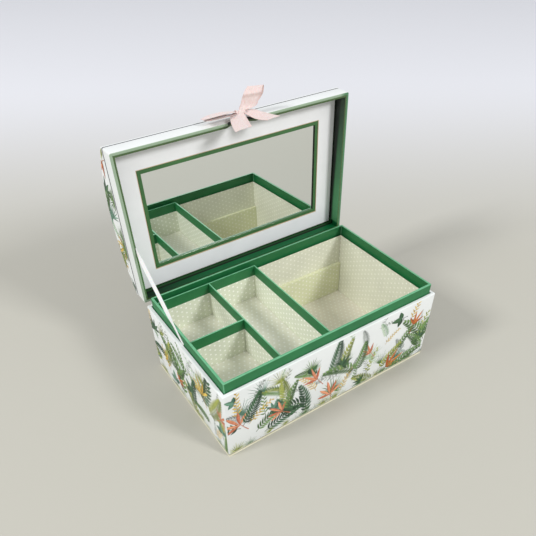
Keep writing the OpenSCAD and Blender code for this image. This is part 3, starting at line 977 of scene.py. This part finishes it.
# %% Woven materials
def woven(name, colour, shade, threads, ribs, roughness, sheen, width=None):
    """A woven cloth: threads and ribs per millimetre; a ribbon's width gives it darker edges."""
    made, tree = start(name)
    u, v, _ = axes(tree, add(tree, "UVMap").outputs[0])
    stretched = add(tree, "CombineXYZ", {0: u * threads, 1: v * (threads * 0.08)}).outputs[0]
    warp = (u * (2 * math.pi * threads)).math("SINE")
    weft = (v * (2 * math.pi * ribs)).math("SINE")
    height = (warp + weft) * 0.125 + noise(tree, 1.0, 2.0, place=stretched)
    tint = blended(height.between(0.2, 0.9), shade, colour)
    if width:
        edge = abs(u - width / 2).between(width / 2 - 0.9, width / 2 - 0.5)
        tint = blended(edge * 0.35, tint, shade)
    close(tree, tint, roughness, height, bump=0.25, depth=0.08, Sheen_Weight=sheen,
          Subsurface_Weight=0.08, Subsurface_Scale=0.6 * MM)
    return made


pink_satin = woven(
    "pink_satin", paint(231, 222, 220), paint(206, 178, 171), 3.0, 2.2, 0.42, 0.3, SATIN_WIDTH / MM
)
white_satin = woven("white_satin", paint(240, 240, 239), paint(228, 228, 228), 3.0, 2.5, 0.4, 0.3)
book_cloth = woven("book_cloth", paint(236, 237, 235), paint(205, 206, 203), 1.6, 1.6, 0.8, 0.1)
wear([*bow, boards["bow_anchor"]], pink_satin)
wear([stay, boards["stay_tab_base"], boards["stay_tab_lid"]], white_satin)
wear([cloth], book_cloth)
print("woven:", [each.name for each in (pink_satin, white_satin, book_cloth)])

# %% [markdown]
# The outer paper is printed with generic foliage of this script's own: fern fronds, broad leaves,
# grass tufts, sprigs and rust-coloured blooms. A print is only ink, but drawn as thin flat leaves
# it stays crisp at any size. Each leaf shape is modelled once, from a grid whose rows are
# narrowed, and then copied into plants, and the plants are copied onto each sheet. The sheets are
# drawn flat in millimetres and laid on the box afterwards.


# %% Leaf shapes
def leaf_shape(name, rows, outline):
    """A flat leaf 1 long and 1 wide: a grid whose rows are narrowed to the outline's share."""
    bpy.ops.object.select_all(action="DESELECT")
    bpy.ops.mesh.primitive_grid_add(
        x_subdivisions=2, y_subdivisions=rows, size=1, location=(0, 0.5, 0), calc_uvs=True
    )
    leaf = bpy.context.object
    leaf.name = leaf.data.name = name
    bpy.ops.object.transform_apply(location=True)
    bpy.ops.object.mode_set(mode="EDIT")
    bpy.ops.mesh.select_mode(type="VERT")
    for row in range(rows + 1):
        share = row / rows
        shape = bmesh.from_edit_mesh(leaf.data)
        bpy.ops.mesh.select_all(action="DESELECT")
        for vertex in shape.verts:
            vertex.select_set(abs(vertex.co.y - share) < 0.4 / rows)
        bmesh.update_edit_mesh(leaf.data)
        bpy.ops.transform.resize(
            value=(max(outline(share), 1e-4), 1, 1), center_override=(0, share, 0)
        )
    bpy.ops.mesh.select_all(action="SELECT")
    bpy.ops.mesh.remove_doubles(threshold=1e-3)
    bpy.ops.object.mode_set(mode="OBJECT")
    return leaf


slim_leaf = leaf_shape("slim_leaf", 6, lambda t: math.sin(math.pi * t**0.75))
broad_leaf = leaf_shape("broad_leaf", 12, lambda t: math.sin(math.pi * t**0.7) ** 0.85)
petal = leaf_shape("petal", 8, lambda t: math.sin(math.pi * t**1.2) ** 0.9)
grass_blade = leaf_shape("grass_blade", 8, lambda t: (1 - t) ** 0.7 * min(1, 0.45 + 4 * t))
stem_strip = leaf_shape("stem_strip", 10, lambda t: 1 - 0.6 * t)
leaf_shapes = [slim_leaf, broad_leaf, petal, grass_blade, stem_strip]
print(len(leaf_shapes), "leaf shapes")


# %% Plants made of copied leaves
def points_of(piece):
    """The X, Y and Z of a piece's vertices, as three rows."""
    points = np.empty(len(piece.data.vertices) * 3)
    piece.data.vertices.foreach_get("co", points)
    return points.reshape(-1, 3).T


def put(piece, x, y, z, at, turn):
    """Gives a flat piece's vertices new places, turned clockwise by degrees round a point."""
    angle = math.radians(turn)
    placed = np.stack([
        at[0] + x * math.cos(angle) + y * math.sin(angle),
        at[1] - x * math.sin(angle) + y * math.cos(angle),
        z,
    ], axis=1)
    piece.data.vertices.foreach_set("co", placed.ravel())


def leaf(shape, at, length, width, turn=0.0, bend=0.0, tone=0.5, layer=0):
    """A copy of a leaf shape, sized in millimetres, bent sideways, turned and placed."""
    copy = own_copy(shape, "leaf")
    side, along, height = points_of(copy)
    x = side * width + bend * length * along**2
    put(copy, x, along * length, height + layer * 0.001, at, turn)
    shading = tone + 0.22 * np.sign(side) * (np.abs(side) > 1e-3) + 0.15 * (along - 0.5)
    copy.data.attributes.new("tone", "FLOAT", "POINT").data.foreach_set("value", shading)
    return copy


def fern(pairs, arch, reach, name):
    """A frond 60 mm long: leaflets in pairs along a curved stem."""
    length = 60
    parts = [leaf(stem_strip, (0, 0), length, 0.8, bend=arch, tone=0.3)]
    for i in range(pairs):
        along = 0.1 + 0.88 * i / pairs
        at = (arch * length * along**2, along * length)
        lean = math.degrees(math.atan(2 * arch * along))
        size = reach * math.sin(math.pi * (0.2 + 0.78 * along)) ** 0.8
        for side in (-1, 1):
            parts.append(leaf(
                slim_leaf, at, size, 0.6 * length / pairs, lean + side * (66 - 34 * along),
                -side * 0.14, 0.45 + side * 0.22 + 0.1 * ((i * 7) % 5 - 2) / 5, i * 2 + side,
            ))
    return joined(parts, name)


def tuft(blades, shape, spread, width, arch, name):
    """A tuft 40 mm high of long blades that arch outwards from one foot."""
    parts = []
    for i in range(blades):
        share = 2 * i / (blades - 1) - 1
        length = 40 * (1 - 0.3 * abs(share)) * (0.8 + 0.2 * ((i * 5) % 3) / 2)
        parts.append(leaf(
            shape, (share * 1.5, 0), length, width, share * spread, share * arch,
            0.2 + 0.65 * ((i * 3) % 4) / 3, i,
        ))
    return joined(parts, name)


def sprig(pairs, shape, reach, width, arch, name):
    """A sprig 44 mm high with small leaves that alternate along a thin stem."""
    parts = [leaf(stem_strip, (0, 0), 44, 0.6, bend=arch, tone=0.35)]
    for i in range(pairs * 2):
        along = 0.12 + 0.85 * i / (pairs * 2)
        side = 1 if i % 2 else -1
        at = (arch * 44 * along**2, along * 44)
        size = reach * (1.1 - 0.5 * along)
        turn = math.degrees(math.atan(2 * arch * along)) + side * (60 - 22 * along)
        parts.append(leaf(shape, at, size, width, turn, 0, 0.4 + 0.25 * (i % 3), i))
    return joined(parts, name)


def cluster(leaves, shape, length, width, fan, name):
    """Broad leaves or petals that open like a fan from a short stem."""
    parts = [leaf(stem_strip, (0, -length * 0.6), length * 0.8, 1.0, bend=0.1, tone=0.3)]
    for i in range(leaves):
        share = 2 * i / (leaves - 1) - 1
        order = abs(share)
        parts.append(leaf(
            shape, (0, 0), length * (1 - 0.28 * order), width, share * fan, share * 0.14,
            0.25 + 0.5 * ((i * 2) % 3) / 2, round((1 - order) * leaves),
        ))
    return joined(parts, name)


PLANTS = {
    "fern": [fern(12, 0.22, 15, "fern_a"), fern(10, -0.34, 13, "fern_b")],
    "grass": [
        tuft(15, grass_blade, 62, 1.5, 0.34, "grass_a"), tuft(19, slim_leaf, 105, 1.9, 0.12, "palm_a")
    ],
    "sprig": [
        sprig(7, slim_leaf, 8, 2.0, 0.2, "sprig_a"), sprig(6, petal, 6, 2.8, -0.3, "sprig_b"),
        sprig(9, broad_leaf, 5, 2.6, 0.45, "sprig_c"),
    ],
    "broad": [
        cluster(3, broad_leaf, 22, 10, 60, "broad_a"), cluster(7, slim_leaf, 26, 5, 84, "broad_b"),
    ],
    "bloom": [
        cluster(5, petal, 23, 3.6, 60, "bloom_a"), cluster(4, slim_leaf, 27, 3.8, 40, "bloom_b")
    ],
}
for shape in leaf_shapes:
    bpy.data.objects.remove(shape, do_unlink=True)
print({kind: [len(p.data.polygons) for p in kinds] for kind, kinds in PLANTS.items()})

# %% [markdown]
# Each ink is a pair of colours, for a leaf's shaded and lit parts. A planting rule says how far
# apart a kind of plant stands, in which share of the sheet's height it grows, how large it is,
# how far it may lean and in which inks it is printed. Pale plants come first and lie behind.

# %% Inks and planting rules
INKS = {
    "fern green": (paint(28, 60, 30), paint(122, 160, 88)),
    "deep green": (paint(12, 40, 28), paint(66, 110, 70)),
    "teal": (paint(20, 64, 54), paint(112, 156, 130)),
    "mint": (paint(118, 152, 122), paint(200, 216, 190)),
    "olive": (paint(80, 96, 28), paint(184, 190, 98)),
    "grey": (paint(104, 112, 108), paint(190, 195, 190)),
    "rust": (paint(138, 50, 22), paint(222, 132, 52)),
    "salmon": (paint(170, 78, 52), paint(230, 162, 122)),
    "ochre": (paint(160, 118, 28), paint(226, 196, 92)),
}
PLANTING = (
    ("sprig", 15, 0.05, 0.9, 0.5, 1.0, 60, ("grey", "grey", "mint")),
    ("fern", 36, 0.1, 0.7, 0.4, 0.7, 70, ("mint", "grey", "fern green")),
    ("grass", 26, 0.15, 0.8, 0.4, 0.75, 60, ("mint", "olive", "teal", "fern green")),
    ("sprig", 20, 0.0, 0.75, 0.5, 0.9, 50, ("ochre", "olive", "fern green")),
    ("fern", 19, -0.1, 0.45, 0.6, 1.0, 65, ("fern green", "fern green", "olive", "deep green")),
    ("broad", 36, 0.05, 0.85, 0.45, 0.8, 120, ("deep green", "teal", "deep green")),
    ("bloom", 38, 0.05, 0.65, 0.6, 1.1, 60, ("rust", "rust", "salmon", "ochre")),
    ("fern", 40, -0.1, 0.4, 0.5, 0.8, 80, ("deep green", "fern green")),
    ("grass", 14, -0.08, 0.03, 0.25, 0.5, 25, ("olive", "fern green", "deep green")),
)
LAYER = 0.03


def planted(plant, at, size, turn, flip, ink, level):
    """A copy of a plant on the flat sheet, printed in one ink."""
    copy = own_copy(plant, "plant")
    x, y, height = points_of(copy)
    put(copy, x * size * flip, y * size, height + level * LAYER, at, turn)
    if flip < 0:
        copy.data.flip_normals()
    tone = np.empty(len(x))
    copy.data.attributes["tone"].data.foreach_get("value", tone)
    dark, light = (np.array(c) for c in INKS[ink])
    shade = np.clip(tone, 0, 1)[:, None]
    colours = dark * (1 - shade) + light * shade
    copy.data.color_attributes.new("Ink", "FLOAT_COLOR", "POINT").data.foreach_set(
        "color", colours.ravel()
    )
    return copy


def printed_sheet(name, width, height, seed, rows=1, crowd=1.0):
    """Plants spread over a flat sheet, in rows, by the planting rules."""
    draw = random.Random(seed)
    copies = []
    for rule, (kind, gap, lowest, highest, small, large, lean, inks) in enumerate(PLANTING):
        count = max(1, round(width / gap * crowd))
        for row in range(rows):
            for i in range(count):
                u = (i + draw.uniform(0.1, 0.9)) * (width / count) - width / 2
                v = (row + draw.uniform(lowest, highest)) * height / rows
                copies.append(planted(
                    draw.choice(PLANTS[kind]), (u, v), draw.uniform(small, large),
                    draw.uniform(-lean, lean), draw.choice((-1, 1)), draw.choice(inks),
                    rule + 0.2 * (len(copies) % 4) + 1,
                ))
    return joined(copies, name)


print(len(INKS), "inks and", len(PLANTING), "planting rules")

# %% [markdown]
# A sheet is then cut to its panel with bisects, given the thickness of ink so that it is a closed
# solid, and laid on its wall: every point's place on the sheet becomes a place on the box. Three
# kinds of panel are needed: flat walls, the lid's ends and the arch.


# %% Laying the sheets
def lay_sheet(sheet, cuts, place, body):
    """Cuts a flat sheet along lines (point, outward), thickens it and lays it on the box."""
    only(sheet)
    bpy.ops.object.mode_set(mode="EDIT")
    for point, outward in cuts:
        bpy.ops.mesh.select_all(action="SELECT")
        bpy.ops.mesh.bisect(
            plane_co=(*point, 0), plane_no=(*outward, 0), clear_outer=True, threshold=1e-4
        )
    bpy.ops.object.mode_set(mode="OBJECT")
    finish_with(sheet, "SOLIDIFY", thickness=0.02, offset=-1.0)
    for vertex in sheet.data.vertices:
        vertex.co = place(vertex.co.x, vertex.co.y, vertex.co.z)
    sheet.data.update()
    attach(sheet, body)
    print(sheet.name, "has", len(sheet.data.polygons), "faces")


def rectangle(width, height, margin):
    """The four cuts of a rectangle that stands on v = 0."""
    half = width / 2 - margin
    return [
        ((half, 0), (1, 0)), ((-half, 0), (-1, 0)), ((0, margin), (0, -1)),
        ((0, height - margin), (0, 1)),
    ]


wall_low, wall_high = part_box("base_wall_front")
base_width = 2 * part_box("base_wall_right")[1].x / MM
base_depth = 2 * -wall_low.y / MM
wall_height = (wall_high.z - wall_low.z) / MM
flap_top = (cloth_low.z - wall_low.z) / MM
CORNER = 1.2
sheets = []
for name, right, width, top, seed in (
    ("print_front", Vector((1, 0, 0)), base_width, wall_height, 11),
    ("print_right", Vector((0, 1, 0)), base_depth, wall_height, 12),
    ("print_back", Vector((-1, 0, 0)), base_width, flap_top, 13),
    ("print_left", Vector((0, -1, 0)), base_depth, wall_height, 14),
):
    outward = right.cross(Vector((0, 0, 1)))
    reach = base_depth / 2 if name in ("print_front", "print_back") else base_width / 2
    sheet = printed_sheet(name, width, wall_height, seed)

    def on_wall(u, v, lift, right=right, outward=outward, reach=reach):
        """A place on the sheet as a place on its wall."""
        flat = right * u + outward * (reach + lift) + Vector((0, 0, v))
        return flat * MM + Vector((0, 0, wall_low.z))

    lay_sheet(sheet, rectangle(width, top, CORNER), on_wall, "base")
    sheets.append(sheet)

# %% Sheets on the lid
ARCH_MARGIN = 2.2
END_MARGIN = 0.8
END_CUTS = 15
arch_length = arch_span * arch_radius / MM
lid_width = (arch_high.x - arch_low.x) / MM


def on_arch(u, v, lift):
    """A place on the sheet as a place on the open lid's arch."""
    angle = (v / arch_length - 0.5) * arch_span
    radius = arch_radius + (lift + 0.1) * MM
    spot = Vector((u * MM, radius * math.sin(angle), arch_middle + radius * math.cos(angle)))
    return OPEN_LID @ spot


sheet = printed_sheet("print_arch", lid_width, arch_length, 21, rows=2, crowd=0.7)
lay_sheet(sheet, rectangle(lid_width, arch_length, ARCH_MARGIN), on_arch, "lid")
sheets.append(sheet)
end_half = arch_half / MM
end_foot = (arch_low.z - arch_middle) / MM
touch = arch_radius / MM - END_MARGIN
for side, facing, seed in (("left", -1, 31), ("right", 1, 32)):
    sheet = printed_sheet(f"print_end_{side}", 2 * end_half, 40, seed, crowd=0.45)
    cuts = rectangle(2 * end_half, 100, END_MARGIN)
    for k in range(END_CUTS):
        angle = (k / (END_CUTS - 1) - 0.5) * arch_span
        outward = (math.sin(angle), math.cos(angle))
        cuts.append(((touch * outward[0], touch * outward[1] - end_foot), outward))

    def on_end(u, v, lift, facing=facing):
        """A place on the sheet as a place on one end of the open lid."""
        reach = facing * (lid_width / 2 * MM + PAPER_THICKNESS + lift * MM)
        return OPEN_LID @ Vector((reach, facing * u * MM, arch_low.z + v * MM))

    lay_sheet(sheet, cuts, on_end, "lid")
    sheets.append(sheet)
for kinds in PLANTS.values():
    for plant in kinds:
        bpy.data.objects.remove(plant, do_unlink=True)

# %% [markdown]
# The ink is watercolour: each leaf has its own colours from the Ink attribute, a pale midrib and
# fine side veins drawn from its UV map, and soft blotches where the wash dried unevenly.

# %% Ink material
ink, tree = start("foliage_ink")
drawn = add(tree, "VertexColor", layer_name="Ink").outputs[0]
u, v, _ = axes(tree, add(tree, "UVMap").outputs[0])
aside = abs(u - 0.5)
vein = (v * 8.0 - aside * 3.0).math("PINGPONG", 0.5).between(0.1, 0.02)
wash = (noise(tree, 0.5, 3.0) - 0.5) * 1.6
bright = wash + aside.between(0.09, 0.03) * 0.35 + vein * 0.22 + 1.0
close(tree, scaled(tree, drawn, bright), 0.5)
wear(sheets, ink)
print("ink on", len(sheets), "sheets")

# %% [markdown]
# The box stands on a plain pale floor under soft light: one lamp from the front right, one from
# the left and slightly behind, and an even sky. The sky fills the shadows, and what the camera
# and the mirror see of it is the backdrop's own pale colour.

# %% Floor, lamps and sky
bpy.ops.object.select_all(action="DESELECT")
bpy.ops.mesh.primitive_plane_add(size=12, location=(0, 0, 0))
floor = bpy.context.object
floor.name = floor.data.name = "floor"
floor_paint, tree = start("floor_paint")
x, y, _ = axes(tree, place_in(tree))
behind = (x * 0.55 + y * 0.83).between(150, 1000)
colour = blended(behind, paint(184, 182, 172), paint(226, 227, 232))
close(tree, colour, 0.8, Specular_IOR_Level=0.2)
wear([floor], floor_paint)


def lamp(name, place, target, size, power):
    """A square soft lamp that looks at a target."""
    light = bpy.data.lights.new(name, "AREA")
    light.size = size
    light.energy = power
    holder = bpy.data.objects.new(name, light)
    bpy.context.collection.objects.link(holder)
    holder.location = place
    holder.rotation_euler = (Vector(target) - Vector(place)).to_track_quat("-Z", "Y").to_euler()


BOX_MIDDLE = (0, 0.02, 0.1)
lamp("front_window", (1.08, -2.42, 1.9), BOX_MIDDLE, 0.6, 52)
lamp("left_window", (-3.0, 0.38, 2.5), BOX_MIDDLE, 0.8, 82)
sky = bpy.data.worlds.new("sky")
bpy.context.scene.world = sky
sky.use_nodes = True
tree = sky.node_tree
tree.nodes.clear()
rays = add(tree, "LightPath").outputs
seen = Field(tree, rays["Is Camera Ray"])
for kind in ("Is Glossy Ray", "Is Transmission Ray"):
    seen = seen.math("MAXIMUM", rays[kind])
fill = add(tree, "Background", {"Color": (0.97, 0.98, 1.0, 1), "Strength": 0.65}).outputs[0]
backdrop = add(tree, "Background", {"Color": paint(224, 225, 229), "Strength": 1.0}).outputs[0]
mixed = add(tree, "MixShader", {0: seen, 1: fill, 2: backdrop}).outputs[0]
tree.links.new(mixed, tree.nodes.new("ShaderNodeOutputWorld").inputs[0])
bpy.context.scene.view_settings.view_transform = "Standard"
print("lamps:", [each.name for each in bpy.data.lights])
